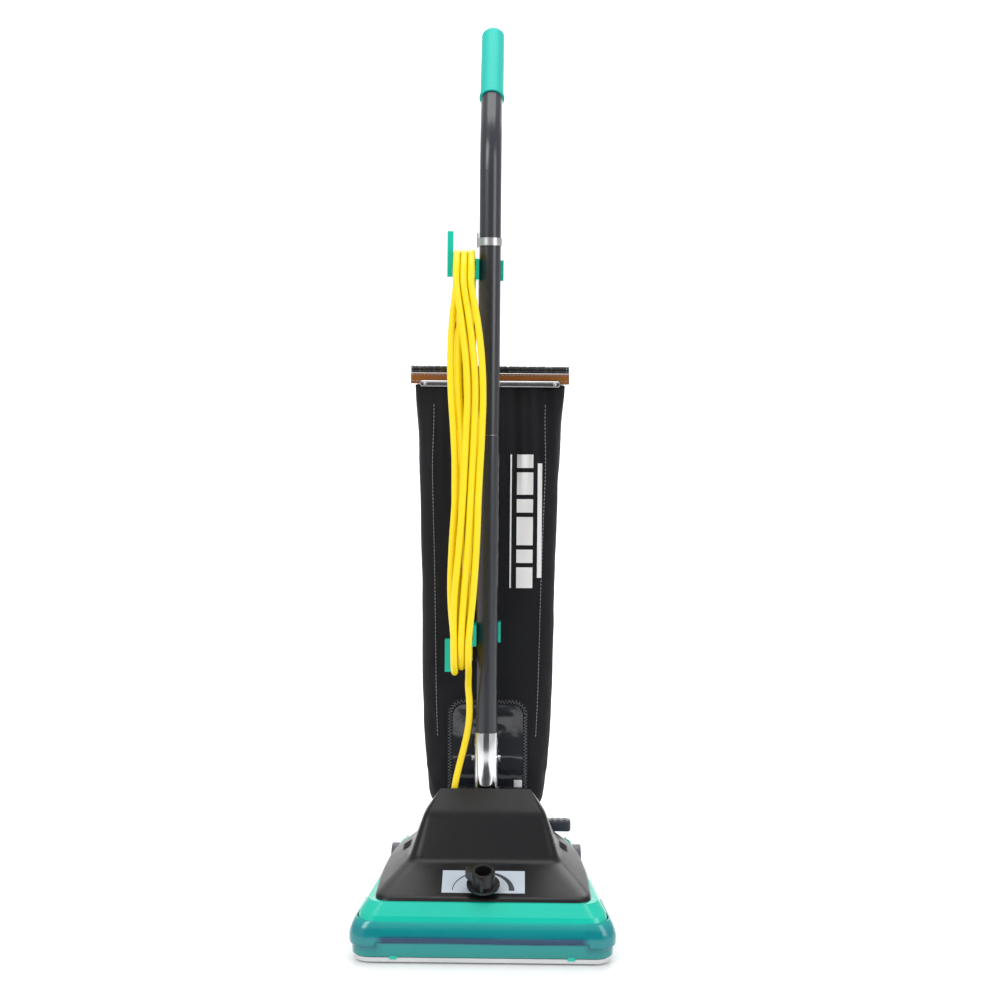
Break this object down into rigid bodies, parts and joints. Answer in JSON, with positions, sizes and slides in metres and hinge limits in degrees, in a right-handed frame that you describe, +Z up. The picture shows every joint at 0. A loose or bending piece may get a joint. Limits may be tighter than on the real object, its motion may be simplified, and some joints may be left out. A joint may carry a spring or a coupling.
{
  "type": "upright vacuum cleaner",
  "caption": "Upright vacuum cleaner with a wide teal floor head, black motor hood, leaning tube handle, hanging black filter bag and a yellow cord wound on side hooks.",
  "frame": {"origin": "on the floor, at the middle of the footprint's bounding box (cord left out)", "axes": "+Z up; -Y is the front, where the bumper is; +X is the right-hand side seen from the front; the handle leans back towards +Y"},
  "size_m": [0.334, 0.3766, 1.1881],
  "materials": {
    "teal_plastic": "satin",
    "teal_clear": "gloss",
    "black_plastic": "satin",
    "dark_plastic": "matte",
    "grey_plastic": "matte",
    "tube_paint": "satin",
    "chrome": "polished",
    "steel": "brushed",
    "label": "matte",
    "bag_fabric": "woven",
    "brown_board": "woven tape",
    "clear_vinyl": "gloss",
    "cord_yellow": "satin",
    "black_rubber": "matte",
    "copper_core": "laminated",
    "bristle": "matte",
    "wood_roll": "lacquered",
    "grip_teal": "matte"
  },
  "bodies": {
    "base": {"bag_clamp": "steel", "bag_collar": "black_rubber", "bag_neck": "bag_fabric", "bail_pivots": "steel", "base_housing": "teal_plastic", "belly_pan": "black_plastic", "brush_end_caps": "black_plastic", "carbon_brushes": "dark_plastic", "carriage_rod": "steel", "cord_gland": "black_rubber", "drive_belt": "black_rubber", "exhaust_duct": "dark_plastic", "fan_housing": "dark_plastic", "front_bumper": "teal_clear", "height_label": "label", "knob_bush": "grey_plastic", "motor_bearings": "steel", "motor_case": "dark_plastic", "motor_field_core": "copper_core", "motor_hood": "black_plastic", "pedal_rod": "steel", "pedal_spring": "steel", "power_switch": "black_plastic", "rear_axle": "steel", "soleplate": "grey_plastic", "soleplate_screws": "steel"},
    "knob": {"height_knob": "black_plastic"},
    "rotor": {"armature": "copper_core", "motor_pulley": "steel", "suction_fan": "grey_plastic"},
    "brush": {"brush_roll": "wood_roll", "brush_bristles": "bristle"},
    "carriage": {"front_wheel_carriage": "steel", "front_axle": "steel"},
    "front_wheel_r": {"front_wheel_right": "dark_plastic"},
    "front_wheel_l": {"front_wheel_left": "dark_plastic"},
    "rear_wheel_r": {"rear_wheel_right": "dark_plastic"},
    "rear_wheel_l": {"rear_wheel_left": "dark_plastic"},
    "pedal": {"release_pedal": "dark_plastic"},
    "rocker": {"switch_rocker": "dark_plastic"},
    "closure": {"bag_closure_channel": "black_plastic"},
    "handle": {"handle_bail": "chrome", "lower_tube": "tube_paint", "upper_tube": "tube_paint", "tube_joint_sleeve": "steel", "hand_grip": "grip_teal", "handle_bolt": "chrome", "upper_cord_hook": "teal_plastic", "lower_cord_hook": "teal_plastic", "hook_screws": "steel", "bag_hanger_clip": "steel", "filter_bag": "bag_fabric", "bag_top_band": "brown_board", "bag_clamp_bar": "chrome", "bag_spring": "steel", "bag_window": "clear_vinyl", "cord_hank": "cord_yellow", "cord_tie": "black_rubber", "cord_plug": "cord_yellow", "cord_tail": "cord_yellow"}
  },
  "joints": [
    {"name": "handle_recline", "type": "hinge", "parent": "base", "child": "handle", "pos_m": [0, -0.00221, 0.084], "axis": [-1, 0, 0], "range_deg": [0, 60], "deforming": ["bag_neck", "cord_tail"]},
    {"name": "knob_turn", "type": "hinge", "parent": "base", "child": "knob", "pos_m": [0, -0.14431, 0.08083], "axis": [0, -0.2825, 0.9593], "range_deg": [-121, 59]},
    {"name": "carriage_swing", "type": "hinge", "parent": "base", "child": "carriage", "pos_m": [0, -0.06631, 0.03], "axis": [1, 0, 0], "range_deg": [-2.92, 6]},
    {"name": "front_wheel_right_spin", "type": "hinge", "parent": "carriage", "child": "front_wheel_r", "pos_m": [0.07, -0.10631, 0.016], "axis": [1, 0, 0], "continuous": true},
    {"name": "front_wheel_left_spin", "type": "hinge", "parent": "carriage", "child": "front_wheel_l", "pos_m": [-0.07, -0.10631, 0.016], "axis": [1, 0, 0], "continuous": true},
    {"name": "rear_wheel_right_spin", "type": "hinge", "parent": "base", "child": "rear_wheel_r", "pos_m": [0.1232, 0.07369, 0.0335], "axis": [1, 0, 0], "continuous": true},
    {"name": "rear_wheel_left_spin", "type": "hinge", "parent": "base", "child": "rear_wheel_l", "pos_m": [-0.1232, 0.07369, 0.0335], "axis": [1, 0, 0], "continuous": true},
    {"name": "rotor_spin", "type": "hinge", "parent": "base", "child": "rotor", "pos_m": [0, -0.04931, 0.076], "axis": [1, 0, 0], "continuous": true},
    {"name": "brush_spin", "type": "hinge", "parent": "base", "child": "brush", "pos_m": [0, -0.14831, 0.031], "axis": [1, 0, 0], "continuous": true},
    {"name": "pedal_press", "type": "hinge", "parent": "base", "child": "pedal", "pos_m": [0.061, 0.07369, 0.086], "axis": [-1, 0, 0], "range_deg": [0, 8], "stiffness_Nm_per_rad": 1.5, "springref_deg": -6.88},
    {"name": "switch_rock", "type": "hinge", "parent": "base", "child": "rocker", "pos_m": [-0.031, 0.08369, 0.082], "axis": [1, 0, 0], "range_deg": [-6, 6]},
    {"name": "closure_slide", "type": "slide", "parent": "handle", "child": "closure", "axis": [1, 0, 0], "range_m": [0, 0.22]}
  ],
  "couplings": [
    {"joint": "knob_turn", "follows": "carriage_swing", "ratio": -20.16},
    {"joint": "brush_spin", "follows": "rotor_spin", "ratio": 0.57143}
  ]
}
